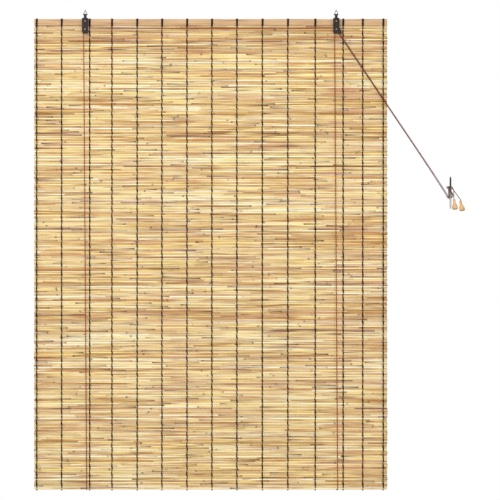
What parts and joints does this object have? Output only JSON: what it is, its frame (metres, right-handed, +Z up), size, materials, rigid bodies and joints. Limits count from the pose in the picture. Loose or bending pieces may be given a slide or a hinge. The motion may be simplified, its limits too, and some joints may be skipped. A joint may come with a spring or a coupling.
{
  "type": "reed roll-up blind",
  "caption": "Reed roll-up blind on two hanging pulley blocks, with looped lift cords, a cord lock, a wall cleat and acorn pulls.",
  "frame": {"origin": "the middle of the hanging line, where two hooks bear in the tips of the wire bails", "axes": "+X to the right as seen from the room, along the batten; +Y towards the wall; +Z up"},
  "size_m": [1.4647, 0.0618, 1.6336],
  "materials": {
    "reed": "split reed, matt, uneven in tone from reed to reed",
    "batten_wood": "planed softwood, unvarnished",
    "housing_metal": "black-brown bronzed finish, worn at the edges",
    "neck_metal": "dark green-black finish",
    "cleat_metal": "cast, dark and half polished by use",
    "wire_steel": "drawn wire, dull",
    "bright_steel": "plated, slightly dulled",
    "cord": "braided orange-brown cotton cord",
    "acorn_wood": "turned pale wood, satin",
    "nylon": "moulded, dark"
  },
  "bodies": {
    "root": {"left_bail": "wire_steel", "right_bail": "wire_steel", "cleat": "cleat_metal", "cleat_screw_upper": "bright_steel", "cleat_screw_lower": "bright_steel", "pull_cord_left": "cord", "pull_cord_right": "cord"},
    "blind": {"hem_batten": "batten_wood", "mat_head_panel": "reed", "left_pulley_housing": "housing_metal", "right_pulley_housing": "housing_metal", "left_neck": "neck_metal", "right_neck": "neck_metal", "left_fixing_screw": "bright_steel", "right_fixing_screw": "bright_steel", "left_axle": "bright_steel", "right_axle": "bright_steel", "left_cord_tack": "bright_steel", "right_cord_tack": "bright_steel", "lift_cord_left": "cord", "lift_cord_right": "cord"},
    "left_sheave": {"left_sheave": "nylon"},
    "right_sheave_front": {"right_sheave_front": "nylon"},
    "right_sheave_rear": {"right_sheave_rear": "nylon"},
    "lock_roller": {"lock_roller": "wire_steel", "lock_pin": "bright_steel"},
    "acorn_left": {"acorn_left": "acorn_wood"},
    "acorn_right": {"acorn_right": "acorn_wood"},
    "panel_01": {"mat_panel_01": "reed"},
    "panel_02": {"mat_panel_02": "reed"},
    "panel_03": {"mat_panel_03": "reed"},
    "panel_04": {"mat_panel_04": "reed"},
    "panel_05": {"mat_panel_05": "reed"},
    "panel_06": {"mat_panel_06": "reed"},
    "panel_07": {"mat_panel_07": "reed"},
    "panel_08": {"mat_panel_08": "reed"},
    "panel_09": {"mat_panel_09": "reed"},
    "panel_10": {"mat_panel_10": "reed"},
    "panel_11": {"mat_panel_11": "reed"},
    "panel_12": {"mat_panel_12": "reed"},
    "panel_13": {"mat_panel_13": "reed"},
    "panel_14": {"mat_panel_14": "reed"},
    "panel_15": {"mat_panel_15": "reed"},
    "panel_16": {"mat_panel_16": "reed"},
    "panel_17": {"mat_panel_17": "reed"},
    "panel_18": {"mat_panel_18": "reed"},
    "panel_19": {"mat_panel_19": "reed"},
    "panel_20": {"mat_panel_20": "reed"},
    "panel_21": {"mat_panel_21": "reed"},
    "panel_22": {"mat_panel_22": "reed"},
    "panel_23": {"mat_panel_23": "reed"},
    "panel_24": {"mat_panel_24": "reed", "bottom_rod": "reed"}
  },
  "joints": [
    {"name": "blind_swing", "type": "hinge", "parent": "root", "child": "blind", "pos_m": [0, 0, -0.0147], "axis": [-1, 0, 0], "range_deg": [-0.5, 12], "deforming": ["pull_cord_left", "pull_cord_right"]},
    {"name": "left_sheave_turn", "type": "hinge", "parent": "blind", "child": "left_sheave", "pos_m": [-0.4265, -0.0114, -0.0647], "axis": [0, -1, 0], "continuous": true},
    {"name": "right_sheave_front_turn", "type": "hinge", "parent": "blind", "child": "right_sheave_front", "pos_m": [0.4265, -0.0136, -0.0647], "axis": [0, -1, 0], "continuous": true},
    {"name": "right_sheave_rear_turn", "type": "hinge", "parent": "blind", "child": "right_sheave_rear", "pos_m": [0.4265, -0.0092, -0.0647], "axis": [0, -1, 0], "continuous": true},
    {"name": "lock_roller_slide", "type": "slide", "parent": "blind", "child": "lock_roller", "axis": [-0.4195, 0, 0.9078], "range_m": [0, 0.0024]},
    {"name": "acorn_left_swing", "type": "hinge", "parent": "root", "child": "acorn_left", "pos_m": [0.8277, 0.004, -0.6419], "axis": [-1, 0, 0], "range_deg": [0, 60]},
    {"name": "acorn_right_swing", "type": "hinge", "parent": "root", "child": "acorn_right", "pos_m": [0.8495, 0.004, -0.647], "axis": [-1, 0, 0], "range_deg": [0, 60]},
    {"name": "panel_01_fold", "type": "hinge", "parent": "blind", "child": "panel_01", "pos_m": [0, -0.0012, -0.4824], "axis": [-1, 0, 0], "range_deg": [0, 60], "deforming": ["lift_cord_left", "lift_cord_right"]},
    {"name": "panel_02_fold", "type": "hinge", "parent": "panel_01", "child": "panel_02", "pos_m": [0, -0.0012, -0.5496], "axis": [-1, 0, 0], "range_deg": [0, 60]},
    {"name": "panel_03_fold", "type": "hinge", "parent": "panel_02", "child": "panel_03", "pos_m": [0, -0.0012, -0.6168], "axis": [-1, 0, 0], "range_deg": [0, 60]},
    {"name": "panel_04_fold", "type": "hinge", "parent": "panel_03", "child": "panel_04", "pos_m": [0, -0.0012, -0.684], "axis": [-1, 0, 0], "range_deg": [0, 60]},
    {"name": "panel_05_fold", "type": "hinge", "parent": "panel_04", "child": "panel_05", "pos_m": [0, -0.0012, -0.7456], "axis": [-1, 0, 0], "range_deg": [0, 60]},
    {"name": "panel_06_fold", "type": "hinge", "parent": "panel_05", "child": "panel_06", "pos_m": [0, -0.0012, -0.8072], "axis": [-1, 0, 0], "range_deg": [0, 60]},
    {"name": "panel_07_fold", "type": "hinge", "parent": "panel_06", "child": "panel_07", "pos_m": [0, -0.0012, -0.8688], "axis": [-1, 0, 0], "range_deg": [0, 60]},
    {"name": "panel_08_fold", "type": "hinge", "parent": "panel_07", "child": "panel_08", "pos_m": [0, -0.0012, -0.9248], "axis": [-1, 0, 0], "range_deg": [0, 60]},
    {"name": "panel_09_fold", "type": "hinge", "parent": "panel_08", "child": "panel_09", "pos_m": [0, -0.0012, -0.9808], "axis": [-1, 0, 0], "range_deg": [0, 60]},
    {"name": "panel_10_fold", "type": "hinge", "parent": "panel_09", "child": "panel_10", "pos_m": [0, -0.0012, -1.0368], "axis": [-1, 0, 0], "range_deg": [0, 60]},
    {"name": "panel_11_fold", "type": "hinge", "parent": "panel_10", "child": "panel_11", "pos_m": [0, -0.0012, -1.0872], "axis": [-1, 0, 0], "range_deg": [0, 60]},
    {"name": "panel_12_fold", "type": "hinge", "parent": "panel_11", "child": "panel_12", "pos_m": [0, -0.0012, -1.1376], "axis": [-1, 0, 0], "range_deg": [0, 60]},
    {"name": "panel_13_fold", "type": "hinge", "parent": "panel_12", "child": "panel_13", "pos_m": [0, -0.0012, -1.188], "axis": [-1, 0, 0], "range_deg": [0, 60]},
    {"name": "panel_14_fold", "type": "hinge", "parent": "panel_13", "child": "panel_14", "pos_m": [0, -0.0012, -1.2328], "axis": [-1, 0, 0], "range_deg": [0, 60]},
    {"name": "panel_15_fold", "type": "hinge", "parent": "panel_14", "child": "panel_15", "pos_m": [0, -0.0012, -1.2776], "axis": [-1, 0, 0], "range_deg": [0, 60]},
    {"name": "panel_16_fold", "type": "hinge", "parent": "panel_15", "child": "panel_16", "pos_m": [0, -0.0012, -1.3224], "axis": [-1, 0, 0], "range_deg": [0, 60]},
    {"name": "panel_17_fold", "type": "hinge", "parent": "panel_16", "child": "panel_17", "pos_m": [0, -0.0012, -1.3616], "axis": [-1, 0, 0], "range_deg": [0, 60]},
    {"name": "panel_18_fold", "type": "hinge", "parent": "panel_17", "child": "panel_18", "pos_m": [0, -0.0012, -1.4008], "axis": [-1, 0, 0], "range_deg": [0, 60]},
    {"name": "panel_19_fold", "type": "hinge", "parent": "panel_18", "child": "panel_19", "pos_m": [0, -0.0012, -1.44], "axis": [-1, 0, 0], "range_deg": [0, 60]},
    {"name": "panel_20_fold", "type": "hinge", "parent": "panel_19", "child": "panel_20", "pos_m": [0, -0.0012, -1.4736], "axis": [-1, 0, 0], "range_deg": [0, 60]},
    {"name": "panel_21_fold", "type": "hinge", "parent": "panel_20", "child": "panel_21", "pos_m": [0, -0.0012, -1.5072], "axis": [-1, 0, 0], "range_deg": [0, 60]},
    {"name": "panel_22_fold", "type": "hinge", "parent": "panel_21", "child": "panel_22", "pos_m": [0, -0.0012, -1.5408], "axis": [-1, 0, 0], "range_deg": [0, 60]},
    {"name": "panel_23_fold", "type": "hinge", "parent": "panel_22", "child": "panel_23", "pos_m": [0, -0.0012, -1.5688], "axis": [-1, 0, 0], "range_deg": [0, 60]},
    {"name": "panel_24_fold", "type": "hinge", "parent": "panel_23", "child": "panel_24", "pos_m": [0, -0.0012, -1.5968], "axis": [-1, 0, 0], "range_deg": [0, 60]}
  ]
}
